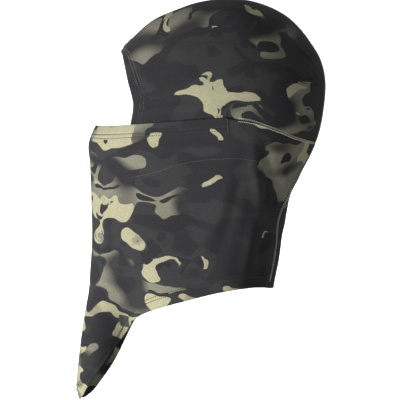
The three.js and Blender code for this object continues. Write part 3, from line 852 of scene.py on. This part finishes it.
def makeJawSeams():
    for side, sign in (("left", 1), ("right", -1)):
        def route(share):
            x = -88 + 146 * share
            z = along(edges["jawStitch"], x)
            return sign * turnAt(x, z), z
        row = runningRow(tubeCloth, route, sewing["jawPitch"], sewing["jawThread"], 0.55, 0.12)
        makeThread(f"jawSeam_{side}", "grey_thread", [row], f"jaw_seam_{side}", bends=True)
    print("jaw seams made")


def paddedRidge(p, side, up, half, high):
    # A closed strip along a seam: at angle a round it, half * cos a to the side and high * sin a up.
    angle = np.arange(12) * math.pi / 6
    taper = np.sqrt(np.clip(1 - np.linspace(-1, 1, len(p)) ** 24, 0.01, 1))[:, None, None]
    ring = half * np.cos(angle)[:, None] * side[:, None] + (high * np.sin(angle)[:, None]) * up[:, None]
    verts = p[:, None] + taper * ring
    k, j = np.mgrid[0:len(p) - 1, 0:12]
    a, b = k * 12 + j, k * 12 + (j + 1) % 12
    walls = np.stack([a, a + 12, b + 12, b], -1).reshape(-1, 4).tolist()
    caps = [np.arange(12), (len(p) - 1) * 12 + np.arange(12)[::-1]]
    return verts.reshape(-1, 3), walls + [cap.tolist() for cap in caps]


middle = {"half": 2.2, "crownHigh": 1.1, "backHigh": 0.5, "pitch": 2.4, "thread": 0.2}


def makeMiddleSeams():
    # The crown seam runs from the brow over the head to where the side seams meet, the back seam to the hem.
    def crown(share):
        ahead = share < 0.5
        z = np.where(ahead, -47 * (1 - 2 * share) ** 2, -143 * (2 * share - 1) ** 2)
        return np.where(ahead, 0.0, np.pi), z

    def back(share):
        z = -146 - 132 * share
        return np.pi - shape["seamTwist"] * fade(-146, -212, z), z

    seams = (
        ("crownSeam", hoodCloth, crown, "grey_thread", middle["crownHigh"], "crown_seam"),
        ("backSeam", tubeCloth, back, "tan_thread", middle["backHigh"], "back_seam"),
    )
    for name, surface, route, slot, high, replaced in seams:
        p, up = paced(surface, route, middle["pitch"])
        side = unit(np.cross(unit(np.gradient(p, axis=0)), up))
        over, under = (p + sign * middle["half"] * side + 0.1 * up for sign in (1, -1))
        if name == "crownSeam":
            thread = stitches(over, under, up, middle["thread"], high + 0.35)
            cover, coverSlot = threads[slot], slot
        else:
            thread = zigzag(over[::2], under[1::2], up[::2], up[1::2], middle["thread"], high + 0.35)
            cover, coverSlot = plainKnit, "black_knit"
        makeThread(name, slot, [thread], replaced)
        ridge = addMesh(f"{name}Ridge", *paddedRidge(p, side, up, middle["half"], high))
        ridge.data.materials.append(cover)
        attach(ridge, "hood")
        print(name, "made")


labels = {"hemSize": (11, 11.5), "hemAt": (-102.6, -308.5), "thick": 0.5,
          "careSize": (15, 22), "careTop": -158, "careTurn": math.pi - 0.24, "careThick": 0.3}


def roundedTag(surface, place, high, cells=18, corner=0.16):
    # A patch of cloth with rounded corners: rows are drawn in near both ends by a circle's arc.
    across, down = np.meshgrid(np.linspace(-1, 1, cells + 1), np.linspace(0, 1, cells + 1))
    near = np.clip(1 - np.minimum(down, 1 - down) / corner, 0, 1)
    across = across * (1 - corner * (1 - np.sqrt(1 - near**2)))
    turn, z = place(across, down)
    up = outward(surface, turn, z)
    return surface(turn, z) + high(across, down)[..., None] * up, up


def makeLabels():
    def hemPlace(across, down):
        wide, high = labels["hemSize"]
        z = labels["hemAt"][1] - high * down - 0.75 * across
        return turnAt(labels["hemAt"][0] + wide / 2 * across, z), z
    points, up = roundedTag(tubeCloth, hemPlace, lambda a, d: 0.55 + 0 * a)
    piece = makeCloth("hemLabel", points, up, labels["thick"], outside=tapes["hem"], inside=tapes["hem"])
    take(piece, "label", "hem_label")
    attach(piece, "hood")
    border, share = [], np.linspace(0, 1, 8)[:, None]
    corners = np.array([(-0.84, 0.07), (0.84, 0.07), (0.84, 0.93), (-0.84, 0.93), (-0.84, 0.07)])
    for start, end in zip(corners[:-1], corners[1:]):
        line = start * (1 - share) + end * share
        turn, z = hemPlace(line[:, 0], line[:, 1])
        n = outward(tubeCloth, turn, z)
        p = tubeCloth(turn, z) + 0.62 * n
        step = (p[1:] - p[:-1]) * 0.12
        border.append(stitches(p[:-1] + step, p[1:] - step, n[1:], 0.16, 0.12))
    stitching = addMesh("hemLabelStitch", *joined(border))
    stitching.data.materials.append(threads["grey_thread"])
    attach(stitching, "hood")

    def carePlace(across, down):
        z = labels["careTop"] - labels["careSize"][1] * down
        return labels["careTurn"] + 0.12 * across, z

    def careSag(across, down):
        return -1.6 - 2.2 * down**2 - 0.3 * np.sin(3 * across + 4 * down)
    points, up = roundedTag(tubeCloth, carePlace, careSag)
    tape = tapes["care"]
    care = makeCloth("careLabel", points, -up, labels["careThick"], outside=tape, inside=tape)
    take(care, "label", "care_label")
    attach(care, "hood")
    print("labels made")


makeHood()
makeTube()
makeHems()
makeRows()
makeBartacks()
makeSideSeams()
makeJawSeams()
makeMiddleSeams()
makeLabels()


studio = {
    "away": 1500, "turned": 12.0, "seen": 394.0, "aimHigh": -196.5, "aimAlong": -29.5,  # the camera
    "ambient": 0.33, "floorAt": -0.75, "floorRadius": 7, "backdropAway": 2.6,
    "backdrop": ((-0.9, -1), (0.9, -1), (0.9, 0.8), (-0.9, 0.8)),  # its corners across and up, in metres
    "lampsAim": (-0.03, 0, -0.2),
}
lamps = [  # where each stands in metres, how wide it is and its power in watts
    {"name": "keyLight", "at": (-0.95, -0.95, -0.5), "size": 0.6, "power": 35},
    {"name": "fillLight", "at": (1.2, -1.6, 0.2), "size": 1.4, "power": 4},
    {"name": "topLight", "at": (0.1, 0.4, 1.6), "size": 1.2, "power": 6},
]


def makeObject(name, data, at, looking):
    # A camera or a lamp at a place in metres, looking along a direction.
    made = bpy.data.objects.new(name, data)
    bpy.context.collection.objects.link(made)
    made.location = at
    made.rotation_euler = looking.to_track_quat("-Z", "Y").to_euler()
    return made


def makeCamera():
    a = math.radians(studio["turned"])
    aim = Vector((studio["aimAlong"] * math.cos(a), studio["aimAlong"] * math.sin(a), studio["aimHigh"])) * mm
    back = Vector((math.sin(a), -math.cos(a), 0))
    data = bpy.data.cameras.new("camera")
    data.lens = data.sensor_width * studio["away"] / studio["seen"]
    bpy.context.scene.camera = makeObject("camera", data, aim + back * studio["away"] * mm, -back)


def makeStage():
    # A round floor, and behind the balaclava a white backdrop that glows a little.
    angle = np.linspace(0, 2 * math.pi, 97)[:-1]
    rim = studio["floorRadius"] * np.stack([np.cos(angle), np.sin(angle)], 1)
    rim = np.column_stack([rim, np.full(len(rim), studio["floorAt"])])
    floor = addMesh("studioFloor", rim / mm, [list(range(len(rim)))])
    made, *_, shader = newMaterial("paleFloor")
    shader.inputs["Base Color"].default_value = (0.9, 0.9, 0.9, 1)
    shader.inputs["Roughness"].default_value = 0.9
    floor.data.materials.append(made)
    a = math.radians(studio["turned"])
    right, behind = np.array([math.cos(a), math.sin(a), 0]), np.array([-math.sin(a), math.cos(a), 0])
    corners = [studio["backdropAway"] * behind + right * across + [0, 0, up]
               for across, up in studio["backdrop"]]
    backdrop = addMesh("studioBackdrop", np.array(corners) / mm, [[0, 1, 2, 3]])
    made, *_, shader = newMaterial("whiteBackdrop")
    shader.inputs["Base Color"].default_value = (1, 1, 1, 1)
    shader.inputs["Emission Color"].default_value = (1, 1, 1, 1)
    shader.inputs["Emission Strength"].default_value = 1.0
    backdrop.data.materials.append(made)


def makeLight():
    world = bpy.data.worlds.new("studio")
    world.use_nodes = True
    world.node_tree.nodes["Background"].inputs[0].default_value = (1, 1, 1, 1)
    world.node_tree.nodes["Background"].inputs[1].default_value = studio["ambient"]
    bpy.context.scene.world = world
    bpy.context.scene.view_settings.view_transform = "Standard"
    for lamp in lamps:
        light = bpy.data.lights.new(lamp["name"], "AREA")
        light.energy, light.size = lamp["power"], lamp["size"]
        makeObject(lamp["name"], light, lamp["at"], Vector(studio["lampsAim"]) - Vector(lamp["at"]))
    print("studio made")


makeCamera()
makeStage()
makeLight()
